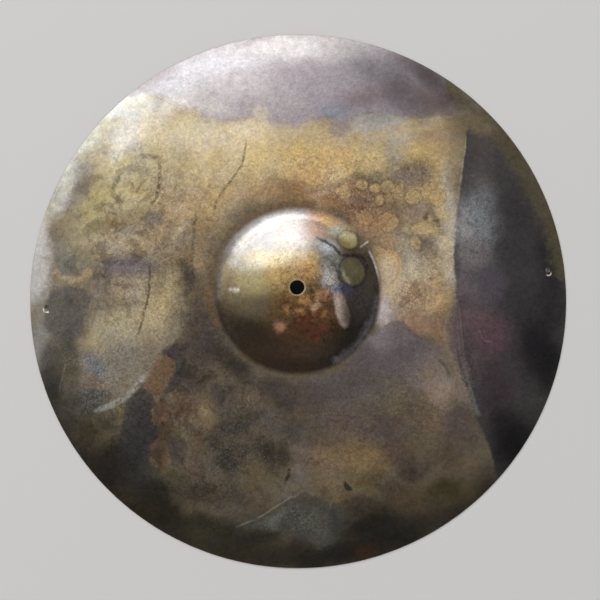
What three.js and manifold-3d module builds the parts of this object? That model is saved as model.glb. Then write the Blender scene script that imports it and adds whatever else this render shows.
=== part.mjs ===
// A 20 inch crash cymbal: one sheet of cast, hammered and turned bronze, with a domed bell, a gently
// curved bow, a thin edge, a bore for the stand's rod and two rivet holes near the edge.
// Millimetres, +Z up. The Z axis is the cymbal's own axis and the bell is on top. The origin is the
// centre of the plane that the edge stands on, so the cymbal rests on its edge at z = 0.

import * as THREE from 'three';
import { mergeVertices } from 'three/addons/utils/BufferGeometryUtils.js';
import Module from 'manifold-3d';

// Driving dimensions, in millimetres.
const DIAMETER = 508;             // across the edge: 20 inches
const OVERALL_HEIGHT = 50;        // from the edge's underside to the top of the bell
const BELL_CURVE_RADIUS = 104;    // of the bell's dome, on its upper face
const BELL_FOOT_RADIUS = 17;      // of the hollow curve that joins the bell to the bow
const CENTRE_THICKNESS = 1.2;     // the same all over the bell
const EDGE_HEIGHT = 0.65;         // of the edge's upper corner above the plane it stands on
const EDGE_REST_WIDTH = 0.9;      // of the flat ring that the edge stands on
const BORE_DIAMETER = 12.4;       // for the rod of a stand
const SEAT_DIAMETER = 22;         // of the flat round the bore, pressed by the stand's felts
const RIVET_HOLE_DIAMETER = 4;
const RIVET_CIRCLE_DIAMETER = 474;
const RIVET_HOLE_DEGREES = [5.1, 183.3];   // anticlockwise from +X, seen from above

// Slopes of the upper face, in degrees below the horizontal.
const BELL_FOOT_SLOPE = 38.5;     // the steepest place, where the dome meets the hollow curve
const BOW_START_SLOPE = 3.2;      // where the hollow curve meets the bow

// Steps of each curve.
const BELL_STEPS = 7;
const FOOT_STEPS = 4;
const BOW_STEPS = 9;
const TURN_STEPS = 96;
const RIVET_HOLE_STEPS = 20;

const BRONZE = new THREE.MeshStandardMaterial({ color: 0x84704b, roughness: 0.42, metalness: 0.95 });

const radians = THREE.MathUtils.degToRad;
const edgeRadius = DIAMETER / 2;
const boreRadius = BORE_DIAMETER / 2;
const seatRadius = SEAT_DIAMETER / 2;

// Points of an arc whose slope goes from one angle to another. It starts at a point of the half
// section, (radius, height), and is left out of the list. A negative curve radius bends it upwards.
function slopeArc(start, curveRadius, fromSlope, toSlope, steps) {
  const points = [];
  for (let i = 1; i <= steps; i += 1) {
    const slope = fromSlope + (toSlope - fromSlope) * (i / steps);
    const outwards = curveRadius * (Math.sin(slope) - Math.sin(fromSlope));
    const downwards = curveRadius * (Math.cos(fromSlope) - Math.cos(slope));
    points.push(new THREE.Vector2(start.x + outwards, start.y - downwards));
  }
  return points;
}

// One face of the bronze from the bore to the edge: the flat seat, the dome, the hollow foot and the
// bow. depth is how far the face lies below the upper face over the bell, and end is its last point.
function faceLine(depth, end) {
  const seatHeight = OVERALL_HEIGHT - depth;
  const domeRadius = BELL_CURVE_RADIUS - depth;
  const seatEdge = new THREE.Vector2(seatRadius, seatHeight);
  const domeStart = Math.asin(seatRadius / domeRadius);
  const footSlope = radians(BELL_FOOT_SLOPE);
  const bowStart = radians(BOW_START_SLOPE);
  const dome = slopeArc(seatEdge, domeRadius, domeStart, footSlope, BELL_STEPS);
  const foot = slopeArc(dome.at(-1), -(BELL_FOOT_RADIUS + depth), footSlope, bowStart, FOOT_STEPS);

  const bowRoot = foot.at(-1);
  const chordSlope = Math.atan2(bowRoot.y - end.y, end.x - bowRoot.x);
  const bowEnd = 2 * chordSlope - bowStart;
  const bowRadius = (end.x - bowRoot.x) / (Math.sin(bowEnd) - Math.sin(bowStart));
  const bow = slopeArc(bowRoot, bowRadius, bowStart, bowEnd, BOW_STEPS);
  return [new THREE.Vector2(boreRadius, seatHeight), seatEdge, ...dome, ...foot, ...bow];
}

// The closed half section, turned round the axis: the upper face outwards, then the lower one back.
function turnedShell() {
  const upper = faceLine(0, new THREE.Vector2(edgeRadius, EDGE_HEIGHT));
  const lower = faceLine(CENTRE_THICKNESS, new THREE.Vector2(edgeRadius - EDGE_REST_WIDTH, 0));
  const standingCorner = new THREE.Vector2(edgeRadius, 0);
  const outline = [...lower, standingCorner, ...upper.reverse(), lower[0].clone()];
  const shell = new THREE.LatheGeometry(outline, TURN_STEPS);
  shell.rotateX(Math.PI / 2);
  return shell;
}

// A cylinder that reaches through the bow at one rivet hole.
function rivetHoleCutter(degrees) {
  const cutter = new THREE.CylinderGeometry(
    RIVET_HOLE_DIAMETER / 2,
    RIVET_HOLE_DIAMETER / 2,
    OVERALL_HEIGHT,
    RIVET_HOLE_STEPS,
  );
  cutter.rotateX(Math.PI / 2);
  const angle = radians(degrees);
  const reach = RIVET_CIRCLE_DIAMETER / 2;
  cutter.translate(reach * Math.cos(angle), reach * Math.sin(angle), 0);
  return cutter;
}

// A three.js geometry as a solid that can be cut.
function toSolid(wasm, geometry) {
  const bare = geometry.clone();
  bare.deleteAttribute('normal');
  bare.deleteAttribute('uv');
  const merged = mergeVertices(bare, 1e-4);
  return new wasm.Manifold(new wasm.Mesh({
    numProp: 3,
    vertProperties: new Float32Array(merged.attributes.position.array),
    triVerts: new Uint32Array(merged.index.array),
  }));
}

// A solid as a three.js geometry.
function toGeometry(solid) {
  const mesh = solid.getMesh();
  const geometry = new THREE.BufferGeometry();
  geometry.setAttribute('position', new THREE.BufferAttribute(mesh.vertProperties, 3));
  geometry.setIndex(new THREE.BufferAttribute(mesh.triVerts, 1));
  geometry.computeVertexNormals();
  return geometry;
}

const wasm = await Module();
wasm.setup();

let bronze = toSolid(wasm, turnedShell());
for (const degrees of RIVET_HOLE_DEGREES) {
  bronze = bronze.subtract(toSolid(wasm, rivetHoleCutter(degrees)));
}

const cymbal = new THREE.Mesh(toGeometry(bronze), BRONZE);
cymbal.name = 'cymbal';

const crashCymbal = new THREE.Group();
crashCymbal.add(cymbal);

export default crashCymbal;
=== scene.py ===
"""A 20 inch crash cymbal in aged bronze, laid bell up on a pale floor.

The cymbal's own axis is +Z. On its upper face +Y is the top of the picture and +X is its right.
Lengths are in metres unless a name ends in _MM, and places on the face are in millimetres.
"""
import math
from typing import NamedTuple

import bpy
import numpy as np
from mathutils import Matrix, Vector


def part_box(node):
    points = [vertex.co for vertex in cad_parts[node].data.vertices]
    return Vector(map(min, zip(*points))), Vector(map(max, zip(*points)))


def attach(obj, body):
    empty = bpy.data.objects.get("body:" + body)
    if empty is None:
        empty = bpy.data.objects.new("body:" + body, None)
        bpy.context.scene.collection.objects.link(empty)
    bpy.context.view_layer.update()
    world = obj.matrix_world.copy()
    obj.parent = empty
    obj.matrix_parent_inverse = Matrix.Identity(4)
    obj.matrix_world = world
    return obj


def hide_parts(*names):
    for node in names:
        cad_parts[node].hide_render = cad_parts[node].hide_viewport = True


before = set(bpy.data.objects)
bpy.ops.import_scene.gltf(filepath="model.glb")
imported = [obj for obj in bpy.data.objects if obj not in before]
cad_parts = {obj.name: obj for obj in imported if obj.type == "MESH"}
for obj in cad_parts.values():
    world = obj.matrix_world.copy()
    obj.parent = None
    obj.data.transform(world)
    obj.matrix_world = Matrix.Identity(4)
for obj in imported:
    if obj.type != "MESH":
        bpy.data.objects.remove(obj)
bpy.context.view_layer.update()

MM = 0.001
CYMBAL_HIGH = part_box("cymbal")[1]
EDGE_RADIUS_MM = CYMBAL_HIGH.x / MM
TOP_HEIGHT_MM = CYMBAL_HIGH.z / MM

# The bronze sheet's section, in millimetres and degrees.
BORE_RADIUS_MM = 6.2
SEAT_RADIUS_MM = 11.0
BELL_CURVE_RADIUS_MM = 104.0
BELL_FOOT_RADIUS_MM = 17.0
CENTRE_THICKNESS_MM = 1.2
EDGE_HEIGHT_MM = 0.65
EDGE_REST_WIDTH_MM = 0.9
BELL_FOOT_SLOPE = math.radians(38.5)
BOW_START_SLOPE = math.radians(3.2)
BORE_BEVEL_MM = 0.45
EDGE_ROUND_MM = 0.3

RIVET_HOLE_RADIUS_MM = 2.0
RIVET_BEVEL_MM = 0.35
RIVET_CIRCLE_MM = 237.0
RIVET_HOLE_DEGREES = (5.1, 183.3)

# How finely the sheet is meshed.
TURN_STEPS = 512
CURVE_STEPS = 60
UPPER_RING_GAP_MM = 2.4
LOWER_RING_GAP_MM = 4.4
RIM_WIDTH_MM = 1.2
RIM_RING_GAP_MM = 0.6
PATCH_CELLS = 6
PATCH_RINGS = 5


# ---------- the camera, the floor and the lights

CAMERA_DISTANCE = 0.707
CAMERA_ELEVATION = math.radians(84.36)
CAMERA_AZIMUTH = math.radians(5.3)
CAMERA_AIM = Vector((0.0022, -0.0067, 0.0))
LENS_MM = 44.7
SENSOR_MM = 36.0
FLOOR_REACH = 12.0


def look_at(eye, target, up):
    """A matrix that stands at eye and looks at target with up towards the top of the picture."""
    back = (eye - target).normalized()
    right = up.cross(back).normalized()
    turn = Matrix((right, back.cross(right), back)).transposed()
    return Matrix.Translation(eye) @ turn.to_4x4()


def direction(azimuth, elevation):
    """The unit vector towards a viewer who looks along +Y at azimuth 0."""
    level = math.cos(elevation)
    return Vector((math.sin(azimuth) * level, -math.cos(azimuth) * level, math.sin(elevation)))


def add_object(name, data):
    made = bpy.data.objects.new(name, data)
    bpy.context.scene.collection.objects.link(made)
    return made


def make_camera():
    lens = bpy.data.cameras.new("camera")
    lens.sensor_width = SENSOR_MM
    lens.lens = LENS_MM
    lens.clip_start = 0.01
    camera = add_object("camera", lens)
    eye = direction(CAMERA_AZIMUTH, CAMERA_ELEVATION) * CAMERA_DISTANCE
    camera.matrix_world = look_at(eye, CAMERA_AIM, Vector((0, 1, 0)))
    bpy.context.scene.camera = camera


def make_softbox(name, azimuth, elevation, distance, width, height, power, colour):
    """A rectangular soft light that faces the cymbal."""
    light = bpy.data.lights.new(name, "AREA")
    light.shape = "RECTANGLE"
    light.size = width
    light.size_y = height
    light.energy = power
    light.color = colour
    softbox = add_object(name, light)
    softbox.visible_camera = False
    eye = direction(math.radians(azimuth), math.radians(elevation)) * distance
    softbox.matrix_world = look_at(eye, Vector((0, 0, 0)), Vector((0, 0, 1)))


def make_floor():
    corners = [(x * FLOOR_REACH, y * FLOOR_REACH, 0) for x, y in ((-1, -1), (1, -1), (1, 1), (-1, 1))]
    mesh = bpy.data.meshes.new("floor")
    mesh.from_pydata(corners, [], [(0, 1, 2, 3)])
    floor = add_object("floor", mesh)
    paint = bpy.data.materials.new("floor_paint")
    paint.use_nodes = True
    shader = paint.node_tree.nodes["Principled BSDF"]
    shader.inputs["Base Color"].default_value = (0.82, 0.81, 0.79, 1)
    shader.inputs["Roughness"].default_value = 0.9
    mesh.materials.append(paint)


def make_world():
    """An even studio: pale near the horizon, as the walls of a bright room, and dimmer overhead."""
    world = bpy.data.worlds.new("studio")
    bpy.context.scene.world = world
    world.use_nodes = True
    tree = world.node_tree
    place = tree.nodes.new("ShaderNodeTexCoord")
    split = tree.nodes.new("ShaderNodeSeparateXYZ")
    tree.links.new(place.outputs["Generated"], split.inputs[0])
    ramp = tree.nodes.new("ShaderNodeValToRGB")
    tree.links.new(split.outputs["Z"], ramp.inputs["Fac"])
    stops = ramp.color_ramp.elements
    stops[0].position = 0.05
    stops[0].color = (0.80, 0.81, 0.82, 1)
    stops[1].position = 0.5
    stops[1].color = (0.42, 0.425, 0.44, 1)
    ramp.color_ramp.interpolation = "EASE"
    back = tree.nodes["Background"]
    tree.links.new(ramp.outputs["Color"], back.inputs["Color"])
    back.inputs["Strength"].default_value = 1.0


# ---------- the shape of the bronze

def slope_arc(start, curve_radius, from_slope, to_slope):
    """Points of an arc in the section as its slope changes. A negative radius bends it upwards."""
    slope = np.linspace(from_slope, to_slope, CURVE_STEPS + 1)[1:]
    outwards = curve_radius * (np.sin(slope) - math.sin(from_slope))
    downwards = curve_radius * (math.cos(from_slope) - np.cos(slope))
    return np.column_stack((start[0] + outwards, start[1] - downwards))


def face_line(depth, end_radius, end_height):
    """One face of the sheet from the bore to the edge, as rows of radius and height in mm."""
    seat = np.array([SEAT_RADIUS_MM, TOP_HEIGHT_MM - depth])
    dome_radius = BELL_CURVE_RADIUS_MM - depth
    dome_start = math.asin(SEAT_RADIUS_MM / dome_radius)
    dome = slope_arc(seat, dome_radius, dome_start, BELL_FOOT_SLOPE)
    foot = slope_arc(dome[-1], -(BELL_FOOT_RADIUS_MM + depth), BELL_FOOT_SLOPE, BOW_START_SLOPE)
    root_radius, root_height = foot[-1]
    chord = math.atan2(root_height - end_height, end_radius - root_radius)
    end_slope = 2 * chord - BOW_START_SLOPE
    bow_radius = (end_radius - root_radius) / (math.sin(end_slope) - math.sin(BOW_START_SLOPE))
    bow = slope_arc(foot[-1], bow_radius, BOW_START_SLOPE, end_slope)
    return np.vstack(((0.0, seat[1]), seat, dome, foot, bow))


UPPER_LINE = face_line(0.0, EDGE_RADIUS_MM, EDGE_HEIGHT_MM)
LOWER_LINE = face_line(CENTRE_THICKNESS_MM, EDGE_RADIUS_MM - EDGE_REST_WIDTH_MM, 0.0)


# How hammering has moved the sheet: waves and shallow dents that fade out by the edge and the bore.
WAVE_COUNT = 14
SHORTEST_WAVE_MM = 55
LONGEST_WAVE_MM = 170
WAVE_HEIGHT_MM = 0.035
DENT_COUNT = 620
DENT_SIZES_MM = (4.5, 9.0)
DENT_DEPTHS_MM = (0.012, 0.04)
CALM_EDGE_MM = 14
CALM_BORE_MM = 16


def relief(x, y):
    """How far hammering has moved the sheet up or down at places on its face, in mm."""
    random = np.random.default_rng(20)
    moved = np.zeros_like(x)
    for _ in range(WAVE_COUNT):
        turn = random.uniform(0, math.tau)
        wave = random.uniform(SHORTEST_WAVE_MM, LONGEST_WAVE_MM)
        phase = random.uniform(0, math.tau)
        along = x * math.cos(turn) + y * math.sin(turn)
        moved += wave / LONGEST_WAVE_MM * WAVE_HEIGHT_MM * np.sin(along * math.tau / wave + phase)
    for _ in range(DENT_COUNT):
        reach = EDGE_RADIUS_MM * math.sqrt(random.uniform(0.02, 0.97))
        turn = random.uniform(0, math.tau)
        size = random.uniform(*DENT_SIZES_MM)
        depth = random.uniform(*DENT_DEPTHS_MM)
        away = np.hypot(x - reach * math.cos(turn), y - reach * math.sin(turn)) / size
        moved -= depth * np.exp(-away * away)
    radius = np.hypot(x, y)
    kept_at_edge = np.clip((EDGE_RADIUS_MM - radius) / CALM_EDGE_MM, 0, 1)
    kept_at_bore = np.clip((radius - BORE_RADIUS_MM) / CALM_BORE_MM, 0, 1)
    return moved * kept_at_edge * kept_at_bore


def ring_radii(gap):
    """The rings of one face between the bore's bevel and the edge's round, closer where it bends."""
    inner = BORE_RADIUS_MM + BORE_BEVEL_MM
    outer = EDGE_RADIUS_MM - EDGE_ROUND_MM
    foot_start = BELL_CURVE_RADIUS_MM * math.sin(BELL_FOOT_SLOPE) - 2
    foot_end = foot_start + BELL_FOOT_RADIUS_MM * math.sin(BELL_FOOT_SLOPE) + 3
    spans = [
        (inner, SEAT_RADIUS_MM, gap * 0.6),
        (SEAT_RADIUS_MM, foot_start, gap),
        (foot_start, foot_end, gap * 0.5),
        (foot_end, outer - RIM_WIDTH_MM, gap),
        (outer - RIM_WIDTH_MM, outer, RIM_RING_GAP_MM),
    ]
    radii = [inner]
    for start, end, step in spans:
        count = max(1, round((end - start) / step))
        radii.extend(start + (end - start) * (i + 1) / count for i in range(count))
    return np.array(radii)


class Sheet:
    """Collects the bronze sheet's points and its faces, each face with the finish it shows."""

    def __init__(self):
        self.points = []
        self.faces = []
        self.finishes = []

    def add_points(self, points):
        start = len(self.points)
        self.points.extend(map(tuple, points))
        return np.arange(start, start + len(points))

    def add_face(self, corners, finish):
        self.faces.append([int(corner) for corner in corners])
        self.finishes.append(finish)

    def bridge(self, first, second, finish):
        """A band of faces between two closed loops of the same length."""
        for i in range(len(first)):
            j = (i + 1) % len(first)
            self.add_face((first[i], first[j], second[j], second[i]), finish)


UPPER, LOWER, WORN = 0, 1, 2


def face_points(x, y, side):
    """Points of the upper or the lower face at places on the plan, in mm."""
    line = UPPER_LINE if side == UPPER else LOWER_LINE
    height = np.interp(np.hypot(x, y), line[:, 0], line[:, 1])
    return np.column_stack((x, y, height + relief(x, y)))


def rivet_places():
    turns = [math.radians(degrees) for degrees in RIVET_HOLE_DEGREES]
    return [(RIVET_CIRCLE_MM * math.cos(turn), RIVET_CIRCLE_MM * math.sin(turn)) for turn in turns]


def add_face_grid(sheet, ring_gap, side):
    """One face of the sheet, with a round gap at each rivet hole.

    Returns its innermost ring, its outermost ring and the loop round each gap.
    """
    radii = ring_radii(ring_gap)
    turns = np.arange(TURN_STEPS) * math.tau / TURN_STEPS
    grid_radius, grid_turn = np.meshgrid(radii, turns, indexing="ij")
    x = (grid_radius * np.cos(grid_turn)).ravel()
    y = (grid_radius * np.sin(grid_turn)).ravel()
    grid = sheet.add_points(face_points(x, y, side)).reshape(grid_radius.shape)

    patches = []
    in_patch = range(PATCH_CELLS)
    for place_x, place_y in rivet_places():
        ring = int(np.argmin(abs(radii - math.hypot(place_x, place_y)))) - PATCH_CELLS // 2
        share_of_turn = (math.atan2(place_y, place_x) % math.tau) / math.tau
        patches.append((ring, round(share_of_turn * TURN_STEPS) - PATCH_CELLS // 2))

    for i in range(len(radii) - 1):
        for j in range(TURN_STEPS):
            if any(i - ring in in_patch and (j - step) % TURN_STEPS in in_patch for ring, step in patches):
                continue
            k = (j + 1) % TURN_STEPS
            corners = (grid[i, j], grid[i + 1, j], grid[i + 1, k], grid[i, k])
            sheet.add_face(corners if side == UPPER else corners[::-1], side)

    loops = [
        add_hole_patch(sheet, grid, ring, step, place, side)
        for (ring, step), place in zip(patches, rivet_places())
    ]
    return grid[0], grid[-1], loops


def add_hole_patch(sheet, grid, ring, step, place, side):
    """Fills a square gap in a face's grid down to a circle, and returns the circle's loop."""
    size = PATCH_CELLS
    walk = [(i, 0) for i in range(size)]
    walk += [(size, j) for j in range(size)]
    walk += [(size - i, size) for i in range(size)]
    walk += [(0, size - j) for j in range(size)]
    loop = np.array([grid[ring + i, (step + j) % TURN_STEPS] for i, j in walk])
    square = np.array([sheet.points[number][:2] for number in loop])

    first_turn = math.atan2(place[1], place[0]) + math.radians(225)
    turns = first_turn + np.arange(len(loop)) * math.tau / len(loop)
    reach = RIVET_HOLE_RADIUS_MM + RIVET_BEVEL_MM
    circle = np.column_stack((np.cos(turns), np.sin(turns))) * reach + np.array(place)

    for i in range(1, PATCH_RINGS + 1):
        plan = square + (circle - square) * (i / PATCH_RINGS) ** 0.7
        inner = sheet.add_points(face_points(*plan.T, side))
        outer_and_inner = (loop, inner) if side == UPPER else (inner, loop)
        sheet.bridge(*outer_and_inner, side)
        loop = inner
    return loop


def rivet_rings(sheet, upper_loop, lower_loop, place):
    """The bevels of a rivet hole, as rings of points from its upper loop to its lower loop."""
    for loop, rise, narrowing in (
        (upper_loop, -0.06, 0.5),
        (upper_loop, -0.26, 1.0),
        (lower_loop, 0.26, 1.0),
        (lower_loop, 0.06, 0.5),
    ):
        points = np.array([sheet.points[number] for number in loop])
        share = 1 - RIVET_BEVEL_MM * narrowing / (RIVET_HOLE_RADIUS_MM + RIVET_BEVEL_MM)
        plan = np.array(place) + (points[:, :2] - place) * share
        yield np.column_stack((plan, points[:, 2] + rise))


def turned_rings(section):
    """Rings of points round the cymbal's axis, at the radii and heights of a section."""
    turns = np.arange(TURN_STEPS) * math.tau / TURN_STEPS
    for radius, height in section:
        heights = np.full(TURN_STEPS, height)
        yield np.column_stack((radius * np.cos(turns), radius * np.sin(turns), heights))


def add_wall(sheet, first, rings, last):
    """Bands of worn metal from one loop to another through rings of points."""
    loop = first
    for ring in rings:
        inner = sheet.add_points(ring)
        sheet.bridge(loop, inner, WORN)
        loop = inner
    sheet.bridge(loop, last, WORN)


def bore_section():
    """The bore's wall from the top down, with its two worn bevels."""
    top = TOP_HEIGHT_MM
    bottom = top - CENTRE_THICKNESS_MM
    bevel = BORE_BEVEL_MM
    return (
        (BORE_RADIUS_MM + bevel * 0.4, top - bevel * 0.2),
        (BORE_RADIUS_MM, top - bevel * 0.7),
        (BORE_RADIUS_MM, bottom + bevel * 0.7),
        (BORE_RADIUS_MM + bevel * 0.4, bottom + bevel * 0.2),
    )


def edge_section():
    """The rounded edge from the ring it stands on up to the upper face."""
    start = EDGE_RADIUS_MM - EDGE_ROUND_MM
    half = np.interp(start, UPPER_LINE[:, 0], UPPER_LINE[:, 1]) / 2
    slopes = [math.radians(degrees) for degrees in (-60, -30, 0, 30, 60)]
    return [(start + EDGE_ROUND_MM * math.cos(a), half + half * math.sin(a)) for a in slopes]


def make_cymbal():
    sheet = Sheet()
    upper_bore, upper_edge, upper_holes = add_face_grid(sheet, UPPER_RING_GAP_MM, UPPER)
    lower_bore, lower_edge, lower_holes = add_face_grid(sheet, LOWER_RING_GAP_MM, LOWER)
    add_wall(sheet, upper_bore, turned_rings(bore_section()), lower_bore)
    add_wall(sheet, lower_edge, turned_rings(edge_section()), upper_edge)
    for upper_loop, lower_loop, place in zip(upper_holes, lower_holes, rivet_places()):
        add_wall(sheet, upper_loop, rivet_rings(sheet, upper_loop, lower_loop, place), lower_loop)

    mesh = bpy.data.meshes.new("cymbal_bronze")
    mesh.from_pydata(np.array(sheet.points) * MM, [], sheet.faces)
    mesh.polygons.foreach_set("material_index", sheet.finishes)
    mesh.polygons.foreach_set("use_smooth", [True] * len(sheet.faces))
    return add_object("cymbal_bronze", mesh)


# ---------- where the patina, painted highlights and painted shade lie, in millimetres

class Dab(NamedTuple):
    """A soft-edged oval of colour, laid over the colours that are already there."""
    x: float
    y: float
    along: float
    across: float
    colour: str
    turn: float = 0
    cover: float = 0.9


class Spot(NamedTuple):
    """A soft-edged oval where something is strong. It fades away outside it."""
    x: float
    y: float
    along: float
    across: float
    amount: float = 1.0


class Line(NamedTuple):
    """A line along a stain's edge. A positive offset moves it inwards."""
    colour: str
    offset: float
    width: float
    cover: float


class StainOrLight(NamedTuple):
    """A patch of patina or painted light, whose edge fades and is ragged over distances in mm.

    Where it has cores, it fades away outside them.
    """
    name: str
    colour: str
    outlines: tuple
    cover: float = 1.0
    fade: float = 3.0
    ragged: float = 3.0
    dabs: tuple = ()
    line: Line = None
    cores: tuple = ()


class Stroke(NamedTuple):
    """A thin curved line."""
    points: tuple
    width: float
    colour: str
    cover: float = 0.7


def oval(x, y, along, across=None, turn=0.0):
    """The outline of an oval."""
    turns = np.linspace(0, math.tau, 12, endpoint=False)
    level = np.cos(turns) * along
    steep = np.sin(turns) * (across or along)
    lean = math.radians(turn)
    xs = x + level * math.cos(lean) - steep * math.sin(lean)
    ys = y + level * math.sin(lean) + steep * math.cos(lean)
    return np.column_stack((xs, ys))


def crescent(radius, width, start, end):
    """The outline of a band round the cymbal's middle, between two angles."""
    turns = np.radians(np.linspace(start, end, 13))
    ways = np.column_stack((np.cos(turns), np.sin(turns)))
    return np.vstack((ways * (radius + width / 2), ways[::-1] * (radius - width / 2)))


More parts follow.
